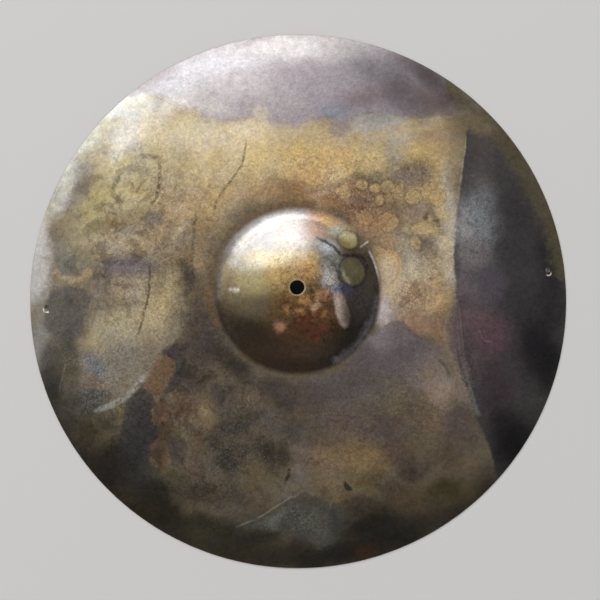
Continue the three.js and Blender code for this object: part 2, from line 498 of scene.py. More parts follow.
# The bow, from dull gold at the top to olive brown at the bottom.
BOW_COLOUR = "857863"
BOW_DABS = (
    # the lower rim
    Dab(-230, -86, 36, 18, "3a3731", -72), Dab(-204, -150, 56, 26, "302d28", -53),
    Dab(-140, -212, 60, 28, "2b2823", -33), Dab(-60, -240, 60, 22, "3c392f", -14),
    Dab(20, -242, 60, 20, "2b2a28", 4), Dab(90, -226, 60, 26, "252422", 22),
    Dab(170, -195, 60, 24, "332e29", 42), Dab(62, -212, 36, 14, "2d2b26", 12),
    Dab(66, -240, 16, 6, "523d30", 15, 0.7),
    # the upper left, pale along its rim from silvery patina and a painted sheen, and the gold above the
    # bell
    Dab(-155, 150, 44, 28, "d0c8b8", 38), Dab(-154, 180, 34, 11, "cdccc4", 42),
    Dab(-164, 190, 46, 10, "e4e6e0", 42), Dab(-122, 182, 20, 9, "c9c3b8", 20),
    Dab(-198, 138, 40, 10, "b8b3a0", 58), Dab(-214, 132, 46, 9, "cdcfc2", 58),
    Dab(-238, 80, 30, 9, "b6b7aa", 72), Dab(-222, 96, 30, 9, "bdb9ae", 68),
    Dab(-160, 150, 14, 11, "d8d3ca", 20, 0.7), Dab(-100, 148, 50, 26, "c9bc9e", 18),
    Dab(-45, 146, 46, 22, "e2d2b4", 5), Dab(-48, 122, 14, 18, "ecd8ae"), Dab(0, 148, 30, 16, "cbb78f"),
    Dab(48, 146, 36, 18, "d0bc9a"), Dab(98, 150, 34, 16, "dccbb0"), Dab(134, 142, 20, 24, "c0a785"),
    Dab(120, 160, 24, 7, "d4c09c", 4, 0.8), Dab(-168, 118, 36, 22, "b4aa8a", 45),
    Dab(-160, 146, 22, 8, "dcd6c6", 50, 0.8), Dab(-122, 112, 30, 22, "bbad8b", 20),
    Dab(-75, 112, 34, 26, "d4c298", 40), Dab(-20, 124, 40, 18, "dcc593", 5),
    Dab(28, 124, 38, 16, "e8c789", -5), Dab(10, 108, 34, 10, "e4c088"), Dab(70, 124, 30, 16, "ead09a"),
    Dab(90, 128, 8, 20, "c4b9a4"), Dab(114, 132, 20, 12, "e4ca92"), Dab(108, 108, 16, 10, "b8a48c"),
    Dab(134, 112, 14, 26, "e8cc98"), Dab(150, 116, 7, 30, "c0ac8a", -8),
    # the left
    Dab(-188, 84, 24, 16, "9f956e", 40), Dab(-186, 68, 16, 9, "b8ac84", 30, 0.8),
    Dab(-198, 64, 24, 18, "a89e78", 65), Dab(-206, 106, 28, 8, "857e74", 75, 0.85),
    Dab(-150, 90, 30, 18, "bcae88", 10), Dab(-116, 76, 22, 26, "ceba98"),
    Dab(-150, 68, 40, 9, "9c8a6a", 4), Dab(-82, 80, 18, 24, "c8ae84"), Dab(-170, 46, 40, 14, "b2a48c"),
    Dab(-158, 24, 30, 9, "7c7476"), Dab(-122, 46, 24, 18, "ac997e"),
    Dab(-136, 18, 8, 12, "736c68", 0, 0.8), Dab(-206, 34, 16, 14, "8d846c"),
    Dab(-220, 28, 12, 14, "7c7a70"), Dab(-176, 2, 24, 12, "8c8072"), Dab(-150, 2, 22, 16, "ae9f86"),
    Dab(-120, -6, 22, 22, "c6b48c"), Dab(-103, 8, 10, 18, "4f4840"), Dab(-90, 32, 9, 12, "ac9472"),
    Dab(-90, 56, 10, 12, "a48d6c"), Dab(-90, -16, 14, 22, "726454", 4),
    Dab(-164, -36, 26, 20, "c6b994"), Dab(-135, -26, 22, 22, "c8b692"),
    Dab(-243, -44, 9, 30, "98948a", -6), Dab(-216, -52, 18, 28, "545049", -15),
    # the lower left
    Dab(-184, -64, 24, 20, "7c7567"), Dab(-186, -72, 10, 18, "74747a", 15, 0.8),
    Dab(-196, -50, 12, 8, "a08e6e", 0, 0.7), Dab(-156, -70, 22, 20, "897d69"),
    Dab(-182, -48, 14, 9, "b6a888", 0, 0.8), Dab(-132, -58, 14, 16, "96836a", 10),
    Dab(-88, -46, 22, 34, "5b504b"), Dab(-62, -66, 26, 12, "4c443d", -42),
    Dab(-188, -83, 12, 5, "947f68"), Dab(-188, -94, 16, 6, "5c5d5a"),
    Dab(-211, -74, 7, 11, "665e4a", -10), Dab(-196, -104, 22, 10, "55524a", 30),
    Dab(-166, -116, 8, 12, "867a58", -15, 0.8), Dab(-114, -58, 12, 8, "574d50", 20),
    Dab(-104, -72, 8, 18, "524e49"), Dab(-92, -84, 16, 12, "5d5049"),
    Dab(-104, -108, 26, 12, "7a6653", -5), Dab(-86, -116, 14, 12, "93806a", -30),
    Dab(-82, -113, 8, 6, "b29c76", -30, 0.8), Dab(-188, -126, 20, 12, "58503f", 35),
    Dab(-122, -130, 12, 14, "5c4b3e"), Dab(-166, -158, 32, 26, "2d2b28", 45),
    Dab(-78, -136, 10, 10, "56544c"), Dab(-92, -142, 8, 18, "76634e"), Dab(-95, -162, 10, 10, "7a6858"),
    Dab(-130, -188, 40, 18, "312e27", -42), Dab(-110, -172, 12, 9, "5c5838", 0, 0.7),
    Dab(-90, -184, 20, 12, "4a4038"), Dab(-60, -186, 18, 16, "5c5044"),
    Dab(-75, -216, 40, 12, "3c392c", -18),
    # below the bell
    Dab(-44, -92, 14, 9, "94806a", -12), Dab(-62, -92, 12, 12, "6e6258"),
    Dab(-20, -92, 20, 12, "5e534c"), Dab(-13, -103, 11, 13, "4a433e", 0, 0.8),
    Dab(8, -142, 16, 8, "50494a", 0, 0.8), Dab(6, -96, 26, 14, "6b5e56"),
    Dab(-60, -122, 18, 18, "554f47"), Dab(-28, -120, 18, 14, "71675e"), Dab(6, -126, 24, 12, "6c645a"),
    Dab(44, -122, 26, 16, "84746a"), Dab(84, -124, 20, 14, "786960"), Dab(-62, -152, 18, 18, "554d45"),
    Dab(-28, -148, 18, 14, "433b36", -12), Dab(2, -156, 12, 22, "94887a"),
    Dab(30, -154, 22, 14, "9e8872"), Dab(56, -155, 25, 17, "ab9069"), Dab(92, -150, 16, 12, "78665a"),
    Dab(106, -164, 13, 12, "5a4c44"), Dab(-34, -176, 24, 14, "7e7054"), Dab(-4, -180, 14, 12, "8f8373"),
    Dab(34, -178, 24, 14, "958468"), Dab(60, -174, 14, 9, "7c6d4a"), Dab(66, -196, 26, 10, "554b3f"),
    Dab(-40, -202, 20, 6, "6a604e", 26), Dab(-30, -222, 26, 10, "35332d", 12),
    # the lower right
    Dab(112, -76, 16, 16, "94867c"), Dab(126, -64, 14, 12, "a39388"),
    Dab(132, -88, 26, 16, "c0a890", -25), Dab(156, -88, 14, 18, "a29187", 20),
    Dab(122, -120, 20, 13, "907c64"), Dab(150, -122, 18, 16, "776860"),
    Dab(136, -150, 24, 14, "726253"), Dab(94, -186, 22, 14, "665848"),
    Dab(134, -184, 22, 12, "52492f", 15),
    # right of the bell
    Dab(52, 86, 22, 14, "b6987a", -30), Dab(60, 62, 10, 10, "c09a7c"),
    Dab(38, 98, 16, 10, "c8ac88", -20), Dab(84, 92, 20, 12, "c8ad84"),
    Dab(74, 66, 24, 16, "cea984", -20), Dab(86, 44, 14, 12, "d2b492"), Dab(120, 90, 24, 12, "ecd09c"),
    Dab(108, 72, 12, 9, "c8b09a"), Dab(120, 58, 18, 8, "ecd6a6"), Dab(142, 60, 9, 50, "ecdfca"),
    Dab(144, 26, 6, 24, "f0e4cc"), Dab(104, 36, 12, 14, "e0d0b4"), Dab(122, 20, 22, 20, "e6d3b2"),
    Dab(102, 18, 9, 12, "f6e4c4"), Dab(106, -20, 14, 10, "f0cfaa"), Dab(133, 75, 9, 9, "f8e0b0"),
    Dab(134, 45, 9, 9, "f6e4c2"), Dab(80, -20, 11, 22, "ffece2"), Dab(92, 4, 9, 16, "ffeacc"),
    Dab(102, -6, 14, 16, "f4dcbc"), Dab(124, -6, 20, 20, "ecc898"),
    Dab(112, -30, 22, 11, "c29e7e", -32), Dab(132, -34, 8, 16, "b28f74"),
    # round the bell's foot
    Dab(-48, 96, 26, 12, "ccb28a", 30), Dab(-30, 92, 22, 9, "bc9f78", 15), Dab(6, 92, 26, 9, "b08e68"),
    Dab(30, 88, 18, 9, "d6b898", -18), Dab(36, 110, 10, 8, "f6daa6"),
    Dab(36, 80, 14, 7, "b48c66", -25, 0.8), Dab(0, 84, 20, 5, "a8875e", 0, 0.7),
    Dab(82, 20, 5, 18, "b89670", 10, 0.8),
)

# The bell: a painted highlight at its upper left, gold round the bore, nearly black at its lower right.
BELL_COLOUR = "453c32"
BELL_DABS = (
    Dab(-6, 10, 62, 58, "75654a", 0, 1.0), Dab(-8, -62, 60, 20, "46392e"),
    # the near-black at (56, -36) is dark patina deepened by painted shade
    Dab(56, -36, 38, 22, "2d2a29", 50), Dab(-58, -32, 26, 14, "453c32", -52),
    # the pale dabs at (-22, 50), (-42, 46), (-18, 63) and (0, 52) are the painted highlight
    Dab(-36, -40, 22, 12, "40372e", -30), Dab(-22, 50, 48, 26, "ccc9c9", 14),
    Dab(-42, 46, 24, 14, "d2d0d0", 42), Dab(-18, 63, 34, 10, "ece8e8", 14),
    Dab(0, 52, 18, 20, "dedade"), Dab(18, 56, 13, 13, "cfae96", -25), Dab(32, 64, 14, 9, "e4c49c", -30),
    Dab(46, 60, 12, 10, "cdb890", -45), Dab(22, 71, 16, 6, "d6ae8c", -18),
    Dab(62, 44, 8, 10, "8d7c66", 30), Dab(36, 54, 8, 6, "cfcfbc"), Dab(-62, 10, 12, 26, "96876a", 8),
    Dab(-38, 24, 24, 12, "cac4ae", 12), Dab(-6, 25, 28, 10, "eadab4"), Dab(8, 14, 20, 12, "dab078", 8),
    Dab(-6, -8, 14, 8, "a98658"), Dab(16, 20, 6, 12, "d6b273", 0, 0.8), Dab(-40, 4, 20, 14, "ada074"),
    Dab(-14, 8, 14, 12, "c4a974"), Dab(-38, -16, 18, 10, "766a54"), Dab(-12, -18, 14, 12, "775e42"),
    Dab(16, -22, 20, 14, "8f6448"), Dab(4, -38, 26, 10, "664a38"), Dab(2, -54, 26, 8, "59483a"),
    Dab(60, -2, 14, 26, "4f4945"), Dab(67, 22, 8, 18, "5a4e44", 24), Dab(30, 22, 12, 18, "a09e92"),
    # the pale dabs at (28, 38), (28, 7) and (35, 0) are painted reflections of a pale light to the right
    Dab(28, 38, 9, 7, "d6dada"), Dab(28, 7, 7, 11, "f6f2e8", 10), Dab(35, 0, 5, 6, "b4bdd6", 10),
    Dab(43, -1, 8, 8, "5c5a6c"), Dab(24, -6, 7, 6, "d6a67c"),
)

# The lilac band along the top, pale along its upper left rim from its patina and a painted sheen.
TOP_COLOUR = "a59ca2"
TOP_DABS = (
    Dab(-114, 203, 45, 20, "c8c8cc", 35), Dab(-60, 226, 50, 18, "d2cfd4", 12),
    Dab(0, 240, 60, 14, "dad6d6"), Dab(-55, 200, 40, 16, "c2bbbe"),
    Dab(-86, 180, 24, 10, "beb8b6", -20), Dab(-112, 178, 18, 8, "d2ceca", -20),
    Dab(-22, 178, 26, 12, "b0a8a8"), Dab(8, 206, 30, 16, "a49ca2"), Dab(36, 174, 14, 9, "8c909c"),
    Dab(46, 236, 24, 14, "b8b3b3", -12), Dab(78, 214, 34, 16, "868288", -20),
    Dab(64, 186, 24, 12, "8a7c80"), Dab(102, 192, 34, 16, "74696e", -25),
    Dab(132, 184, 24, 12, "786a66", -30), Dab(128, 212, 34, 13, "5e5256", -32),
    Dab(152, 186, 16, 12, "54443f", -30),
)

SHADE_COLOUR = "5a5554"
SHADE_DABS = (
    Dab(174, 136, 16, 18, "655e59"), Dab(172, 106, 18, 20, "696360"), Dab(168, 64, 20, 32, "9fa1a3"),
    Dab(155, 56, 9, 28, "b0adab"), Dab(164, 32, 16, 16, "8f8686"), Dab(156, 4, 12, 16, "887c7e"),
    Dab(180, 6, 18, 20, "6e666d"), Dab(166, -28, 18, 18, "836c70"), Dab(180, -44, 20, 20, "725b61"),
    Dab(158, -66, 14, 16, "766466"), Dab(184, -88, 20, 22, "54464a"), Dab(208, 78, 20, 40, "4e4b4a"),
    Dab(212, 30, 20, 26, "504d4e"), Dab(210, -10, 20, 26, "524e4f"), Dab(214, -50, 18, 26, "4c4548"),
    Dab(240, 20, 16, 70, "3c3a3a"), Dab(232, -64, 22, 50, "292829", 15),
    Dab(190, -122, 20, 22, "3e3839"), Dab(204, -144, 32, 28, "222121", 40),
)

BOW_STAINS_AND_SHEEN = (
    StainOrLight("top_band", TOP_COLOUR, (((-230, 230), (-172, 194), (-150, 196), (-132, 190), (-112, 180),
          (-95, 172), (-78, 164), (-58, 163), (-45, 167), (-34, 164), (-20, 160), (0, 157), (12, 162),
          (32, 165), (44, 157), (58, 166), (78, 170), (98, 168), (125, 172), (150, 174), (168, 172),
          (190, 200), (120, 280), (-100, 290)),), cover=0.95, fade=12, ragged=3.5, dabs=TOP_DABS,
          line=Line("8f7668", 1.0, 2.4, 0.2)),
    StainOrLight("steel_streak", "c3c4c2", (((46, 154), (60, 168), (84, 170), (104, 164), (84, 156),
          (62, 152)),), cover=0.5, fade=8, ragged=4),
    StainOrLight("mauve_patch", "a0928e", (oval(40, 154, 11, 8, 10),), cover=0.6, fade=4, ragged=3),
    StainOrLight("right_shade", SHADE_COLOUR, (((163, 157), (160, 145), (156, 114), (151, 86), (148, 60),
          (145.5, 40), (145, 20), (147, 5), (146, -12), (143, -30), (145, -50), (151, -74),
          (157, -95), (164, -115), (172, -132), (180, -152), (187, -175), (215, -200), (300, -150),
          (310, 60), (230, 150), (200, 165), (176, 166)),), fade=3.5, ragged=1.2, dabs=SHADE_DABS),
    StainOrLight("mauve_lens", "8c7876", (((146, -10), (140, -22), (136, -36), (138, -50), (144, -60),
          (151, -72), (150, -40)),), cover=0.8, fade=3, ragged=1.4,
          line=Line("c8bb98", -1.6, 1.6, 0.25)),
    StainOrLight("rim_olive", "70674f", (((150, 186), (178, 158), (202, 124), (221, 90), (234, 58),
          (244, 20), (270, 20), (250, 130), (190, 200), (140, 225)),), cover=0.8, fade=12, ragged=6),
    StainOrLight("corner", "8c7c62", (oval(172, 162, 20, 9, -20),), cover=0.85, fade=14, ragged=6),
    StainOrLight("ash", "7f7477", (((60, -46), (70, -40), (80, -33), (89, -28), (96, -28), (103, -35),
          (113, -43), (122, -51), (134, -54), (150, -90), (120, -120), (60, -130), (0, -120),
          (-20, -80), (30, -78)),), cover=0.9, fade=3, ragged=2,
          dabs=(Dab(96, -40, 22, 10, "8d8384", -25), Dab(74, -44, 14, 12, "a89c9c"),
          Dab(40, -88, 40, 12, "6e6464", 10)), line=Line("9c7c7a", 0.3, 1.4, 0.4),
          cores=(Spot(84, -48, 48, 38), Spot(44, -84, 40, 22, 0.8))),
    StainOrLight("flame", "ffd8a0", (((70, 40), (80, 38), (90, 37), (96, 27), (95, 12), (90, 2), (82, -4),
          (70, -6)),), cover=0.95, fade=3, ragged=2, dabs=(Dab(86, 35, 13, 6, "d8a068"),
          Dab(80, 10, 9, 18, "ffe9c8")), line=Line("fff0cc", 1.8, 1.6, 0.3),
          cores=(Spot(86, 24, 14, 26),)),
    StainOrLight("pale_gold", "9e927c", (((-106, -30), (-112, -46), (-127, -56), (-131, -64), (-138, -77),
          (-151, -92), (-172, -104), (-192, -112), (-206, -90), (-206, -40), (-160, -6),
          (-120, -4)),), cover=0.75, fade=5, ragged=4, cores=(Spot(-150, -72, 44, 34),
          Spot(-124, -42, 26, 24)), dabs=(Dab(-188, -69, 9, 12, "7c7c84", 10),
          Dab(-194, -50, 12, 8, "a8956e"), Dab(-132, -26, 20, 18, "c8b692"),
          Dab(-188, -83, 12, 5, "947f68"), Dab(-188, -94, 18, 6, "565753"),
          Dab(-160, -66, 20, 20, "92887a"))),
    StainOrLight("leaf", "84694f", (((-128, -63), (-119, -60), (-112, -65), (-112, -74), (-119, -80),
          (-122, -90), (-126, -97), (-131, -98), (-136, -94), (-141, -87), (-139, -81), (-135, -74),
          (-130, -69)), ((-133, -138), (-124, -136), (-118, -142), (-119, -156), (-123, -167),
          (-129, -160), (-135, -150)), ((-131, -103), (-122, -100), (-117, -110), (-124, -120),
          (-131, -114))), cover=0.8, fade=2, ragged=3.5, dabs=(Dab(-127, -152, 9, 18, "46372d"),
          Dab(-125, -108, 9, 12, "6c5644"))),
    StainOrLight("charcoal", "434142", (((-144, -84), (-139, -91), (-132, -96), (-130, -103), (-134, -110),
          (-134, -120), (-128, -126), (-128, -134), (-134, -140), (-136, -152), (-134, -160),
          (-126, -168), (-146, -182), (-166, -160), (-164, -130), (-160, -108), (-153, -96)),
          ((-112, -74), (-107, -72), (-108, -84), (-118, -96), (-126, -101), (-121, -90)),
          ((-117, -136), (-106, -132), (-100, -142), (-104, -156), (-114, -162), (-118, -150)),
          ((-80, -86), (-70, -84), (-66, -96), (-69, -107), (-76, -104))), cover=0.92, fade=2.5,
          ragged=3.0, cores=(Spot(-142, -126, 26, 50), Spot(-114, -86, 16, 20, 0.6),
          Spot(-110, -148, 14, 18, 0.7), Spot(-72, -95, 10, 14, 0.6)),
          dabs=(Dab(-110, -148, 12, 14, "443f45"),)),
    StainOrLight("slate", "5b5856", (((-236, -2), (-222, 4), (-206, 4), (-192, -4), (-198, -20), (-204, -38),
          (-224, -44), (-240, -30)),), cover=0.75, fade=7, ragged=4),
    StainOrLight("orange_arc", "b89f7a", (((-230, 17), (-218, 9), (-204, 9), (-192, 17), (-196, 22),
          (-206, 15), (-219, 15), (-228, 21)),), cover=0.6, fade=4, ragged=3),
    # silvery patina along the left rim, brightened by a painted sheen
    StainOrLight("silver_rim_sheen", "cbc6c2", (((-256, 66), (-240, 58), (-236, 26), (-238, 2), (-246, -8),
          (-258, -6)),), cover=0.8, fade=16, ragged=5),
    StainOrLight("bottom_haze", "54564f", (((-50, -214), (-30, -203), (-12, -191), (2, -186), (22, -190),
          (34, -196), (44, -210), (40, -222), (28, -234), (14, -232), (-4, -222), (-22, -220)),),
          cover=0.7, fade=7, ragged=6, dabs=(Dab(-20, -209, 9, 10, "7b7e74"),
          Dab(20, -224, 12, 8, "686a62"), Dab(33, -206, 4, 13, "414546"),
          Dab(12, -194, 8, 5, "55524c"))),
    StainOrLight("grey_spot", "7e796e", (oval(-135, 69, 10, 7, 0),), cover=0.7, fade=5, ragged=3),
    StainOrLight("foot_ring", "7d6549", (crescent(80, 8, 80, 205),), cover=0.65, fade=6, ragged=3,
          dabs=(Dab(-70, 40, 24, 20, "756555", 50),)),
    StainOrLight("coin", "c4b9a4", (oval(-35, 170, 7.5, 7.5),), cover=0.7, fade=4, ragged=1.5),
    StainOrLight("bruises", "a08f84", (oval(112, 108, 11, 12), oval(108, 68, 7, 6), oval(133, 61, 5, 6),
          oval(120, 38, 8, 5), oval(95, 43, 6, 5), oval(92, 106, 6, 5), oval(58, 80, 8, 10, 30),
          oval(76, 108, 8, 4)), cover=0.3, fade=7, ragged=8, dabs=(Dab(58, 80, 12, 12, "6c5644"),
          Dab(112, 110, 14, 14, "9a877c"))),
    StainOrLight("bubbles", "e2c38e", (oval(43, 92, 7, 6), oval(60, 99, 5), oval(72, 96, 4.5),
          oval(84, 98, 6.5, 6), oval(108, 88, 7.5, 6.5), oval(131, 88, 7.5), oval(109, 44, 5, 7),
          oval(118, 58, 13, 5), oval(62, 68, 7), oval(84, 64, 9), oval(95, 96, 4), oval(76, 84, 4)),
          cover=0.6, fade=2.5, ragged=2.2, dabs=(Dab(72, 66, 22, 10, "c79e76"),
          Dab(84, 98, 8, 7, "c2b08a")), line=Line("5f4834", -1.2, 1.3, 0.45)),
    StainOrLight("hook", "7a5650", (((99, 8), (106, 9), (112, 4), (111, -5), (104, -12), (94, -16),
          (92, -12), (100, -7), (105, -2), (104, 3)),), cover=0.3, fade=3, ragged=6),
    StainOrLight("dark_dots", "4b4034", (oval(119, 68, 2.6), oval(129, 66, 3.2, 2.4)), cover=0.6, fade=3,
          ragged=2),
    StainOrLight("chip", "3e3c34", (((42, -174), (44, -174), (50, -181), (45, -182), (42.5, -179)),),
          cover=0.9, fade=1.5, ragged=0.8),
)

BELL_STAINS_AND_LIGHT = (
    StainOrLight("bore_ring", "d9c9a4", (oval(0, 0, 7.8),), cover=0.7, fade=1.2, ragged=0.5),
    StainOrLight("bell_red", "8a4436", (oval(14, -44, 5, 4), oval(20, -37, 7, 4, 20), oval(8, -30, 6, 4)),
          cover=0.4, fade=8, ragged=9),
    StainOrLight("bell_amber", "dca968", (oval(7.5, -11, 5.5, 5), oval(18, -8, 2.6, 5, -12),
          oval(17, -16, 4.5, 3.5, 20), oval(2, -21, 4, 2), oval(-10, -20, 3, 2.4),
          oval(24, -22, 2.4, 3)), cover=0.7, fade=6, ragged=4.5, dabs=(Dab(17, -15, 6, 5, "f0c8a6"),)),
    StainOrLight("bell_drop", "d2a27e", (oval(-15, -34, 5, 4.5),), cover=0.75, fade=6, ragged=3),
    # a pale tongue of patina, with a painted highlight down its left side and painted shade over its right
    # half
    StainOrLight("bell_tongue", "bda797", (((32, -6), (37, -3), (42, -9), (46, -20), (47, -30), (43, -35),
          (38, -31), (34, -20)),), cover=0.9, fade=4, ragged=1.2,
          dabs=(Dab(45, -24, 6, 16, "6a5d55", 12), Dab(36, -15, 5, 13, "f0ddcc", 14))),
    # an olive drop of patina, with a painted highlight at its top left and darker at its bottom
    StainOrLight("olive_drop", "beb07e", (oval(46.5, 46, 8.5, 8),), fade=3, ragged=0.8,
          dabs=(Dab(45, 50, 8, 5, "dcd0a4", 20), Dab(47, 39, 9, 4, "8f8458")),
          line=Line("4a4036", -1.6, 1.4, 0.3)),
    StainOrLight("dark_drop", "6c664b", (oval(50, 16, 10.5, 12.5),), fade=3.5, ragged=0.8,
          dabs=(Dab(42, 10, 3.5, 8, "b8b297", 25), Dab(50, 20, 7, 6, "7f7655")),
          line=Line("2e2a28", -2.2, 2.0, 0.5)),
    # a painted highlight at the bell's upper left
    StainOrLight("high_light", "fffdfa", (crescent(63, 6, 88, 160),), cover=0.4, fade=7, ragged=2),
    # painted shade in the band by the bell's upper left edge, dimming the foot's reflection
    StainOrLight("bell_edge_shade", "8d8782", (crescent(72.5, 6, 118, 186),), cover=0.45, fade=7, ragged=1),
    # a painted highlight along the bell's right edge
    StainOrLight("edge_highlight", "fff6ee", (crescent(75.4, 1.6, 2, 29),), cover=0.95, fade=2.2, ragged=0.5,
          cores=(Spot(70, 25, 9, 15),)),
    # a painted sheen along the bell's lower right edge
    StainOrLight("edge_sheen", "8f8688", (crescent(73, 5, -62, -4),), cover=0.5, fade=7, ragged=3),
    StainOrLight("glint", "ece4dc", (oval(-57, 0, 5, 2.5),), cover=0.75, fade=4, ragged=3),
    StainOrLight("orange_drop", "e2be8a", (oval(29, 64, 6.5, 4),), cover=0.7, fade=5, ragged=2),
)

# Where each fine texture is strongest. The last one is where textures are smoothed away, most on the
# painted highlight.
TEXTURE_SPOTS = {
    "blotches": (
        Spot(118, 104, 34, 34, 0.55), Spot(66, 86, 44, 26, 0.55), Spot(110, -4, 20, 24, 0.4),
        Spot(-120, 90, 50, 50, 0.45), Spot(-120, -120, 60, 60, 0.6), Spot(-60, -120, 60, 60, 0.6),
        Spot(60, -150, 90, 50, 0.4), Spot(12, -10, 44, 52),
    ),
    "patches": (
        Spot(-170, 60, 70, 110), Spot(-120, -120, 110, 90), Spot(0, -160, 130, 70, 0.7),
        Spot(-60, 110, 60, 40, 0.3), Spot(130, -120, 60, 60, 0.5),
    ),
    "grain": (
        Spot(0, 0, 260, 260, 0.5), Spot(20, 40, 150, 120), Spot(-120, -20, 110, 120),
        Spot(60, -100, 110, 60, 0.8), Spot(-160, -90, 60, 60), Spot(168, 62, 26, 40, 1.3),
    ),
    "flecks": (
        Spot(-130, 40, 110, 130, 0.9), Spot(60, 100, 110, 50), Spot(125, 10, 40, 70),
        Spot(-100, -120, 100, 80, 0.8), Spot(60, -150, 110, 60, 0.5), Spot(120, -90, 50, 40, 0.7),
        Spot(0, 0, 260, 260, 0.35), Spot(14, -8, 46, 44, 1.2), Spot(166, 62, 24, 40, 1.2),
        Spot(180, -30, 30, 50, 0.5),
    ),
    "dust": (
        Spot(-178, -62, 36, 44, 0.9), Spot(164, 62, 22, 36), Spot(-5, -208, 36, 16, 0.45),
        Spot(-165, 150, 24, 20, 0.5), Spot(120, -85, 40, 36, 0.5), Spot(-60, -150, 60, 60, 0.3),
        Spot(-235, 0, 20, 60, 0.5), Spot(80, 165, 36, 10, 0.6), Spot(-20, 45, 40, 24, 0.3),
    ),
    "pits": (
        Spot(110, 100, 50, 50, 0.5), Spot(125, 10, 30, 60, 0.45), Spot(60, 80, 50, 40, 0.7),
        Spot(-20, 120, 70, 30, 0.3), Spot(16, -4, 40, 44, 0.9), Spot(-120, 90, 36, 36, 0.6),
        Spot(-150, -60, 50, 50, 0.4),
    ),
    "net": (
        Spot(60, 86, 26, 20), Spot(92, 92, 20, 16, 0.6), Spot(112, 112, 20, 14, 0.8), Spot(104, -4, 12, 14),
        Spot(122, 36, 14, 9, 0.7), Spot(-118, 96, 16, 22, 0.6), Spot(16, -12, 20, 22, 0.9),
        Spot(24, 58, 12, 8, 0.7),
    ),
    "smooth": (
        Spot(-24, 50, 36, 20, 0.8), Spot(-46, 30, 18, 16, 0.6), Spot(0, 0, 76, 76, 0.45),
    ),
}

STROKES = (
    # the left half
    Stroke(((-140, 192), (-118, 180), (-98, 168), (-80, 160)), 1.6, "a08c84", 0.5),
    Stroke(((-48, 145), (-52, 120), (-65, 100), (-75, 85), (-78, 70)), 2.4, "6a5e44", 0.7),
    Stroke(((-131, 126), (-130, 112), (-131, 96), (-134, 86), (-139, 80)), 3.4, "5c5040", 0.75),
    Stroke(((-167, 113), (-173, 104), (-175, 94), (-164, 81)), 5.0, "625a48", 0.7),
    Stroke(((-152, 130), (-140, 129), (-128, 127)), 5.0, "6c6654", 0.65),
    Stroke(((-94, 76), (-96, 60), (-97, 40), (-98, 20)), 3.0, "665c4a", 0.6),
    Stroke(((-137, 26), (-137, 4), (-141, -18), (-148, -44)), 2.6, "554c40", 0.75),
    Stroke(((-136, -74), (-145, -84), (-155, -95), (-170, -104), (-190, -112)), 6.0, "bbb8ae", 0.65),
    Stroke(((-56, -216), (-36, -207), (-20, -197), (-8, -189), (2, -186)), 1.8, "a4a092", 0.6),
    Stroke(((-217, -68), (-220, -80), (-223, -94)), 1.1, "8f8a7c", 0.5),
    Stroke(((-7, -161), (-8, -168), (-11, -174)), 3.4, "3a3430", 0.85),
    # a painted highlight on the lower edge of the left rivet hole
    Stroke(((-240.2, -15), (-239.4, -17.4), (-237, -18.6), (-234.6, -18)), 1.5, "fffaf0", 1.0),
    # the right half
    # a painted highlight on the lower edge of the right rivet hole
    Stroke(((239.6, 19.4), (239, 17), (236.8, 16), (234.4, 16.8)), 1.5, "fffaf0", 1.0),
    Stroke(((161, 150), (158, 130), (153.5, 104), (150, 82)), 1.8, "c9bfa2", 0.6),
    Stroke(((147, 58), (144.5, 40), (144, 22), (146, 4)), 1.8, "d8ccb0", 0.5),
    Stroke(((92, 167), (102, 163), (125, 166), (150, 169)), 2.2, "c8b4a4", 0.5),
    Stroke(((147, -6), (141, -20), (136, -40), (139, -56), (144, -72), (150, -88), (156, -104)), 5.0,
           "a8967c", 0.6),
    # painted shade along the tan strip's right side
    Stroke(((146, -52), (150, -70), (156, -86)), 2.4, "574e4b", 0.7),
    # painted shade along the tan strip's left side
    Stroke(((129, -62), (135.5, -69), (139.5, -80)), 3.0, "5e5551", 0.7),
    Stroke(((153, -70), (160, -96), (167, -116)), 4.5, "a09a90", 0.5),
    # more painted shade to the right of the tan strip
    Stroke(((155, -52), (159, -66), (164, -82)), 5.0, "4a4346", 0.6),
    Stroke(((168, -34), (170, -42), (174, -46), (180, -47)), 1.5, "a88c94", 0.6),
    # on the bell
    Stroke(((16, 47), (25, 43), (33, 38), (40, 31), (49, 31.5), (57, 31), (63, 25), (64, 14)), 3.2,
           "2e2926", 0.8),
    Stroke(((22, 27), (27, 27), (31, 22), (27, 19)), 2.0, "57504a", 0.6),
    Stroke(((33, 24), (36, 14), (38, 6)), 2.2, "4a4542", 0.6),
    # a pale scratch with a painted glint
    Stroke(((57, 39), (61, 42), (66, 46)), 1.6, "f6e8d0", 0.9),
)

# Where the bell's colours give way to the bow's.
BELL_EDGE_MM = 78.5
BELL_FADE_MM = 4.0


# ---------- painting the plan on the mesh

def srgb(code):
    """The linear colour of a six-digit sRGB code."""
    share = np.array([int(code[i:i + 2], 16) for i in (0, 2, 4)]) / 255
    return np.where(share <= 0.04045, share / 12.92, ((share + 0.055) / 1.055) ** 2.4)


# How far places wander, so that the plan's ovals lose their regular outlines.
DRIFT_MM = 3.5
LONGEST_DRIFT_WAVE_MM = 60
DRIFT_WAVES_MM = LONGEST_DRIFT_WAVE_MM * 0.72 ** np.arange(9)
DRIFT_SWELL = 1.6


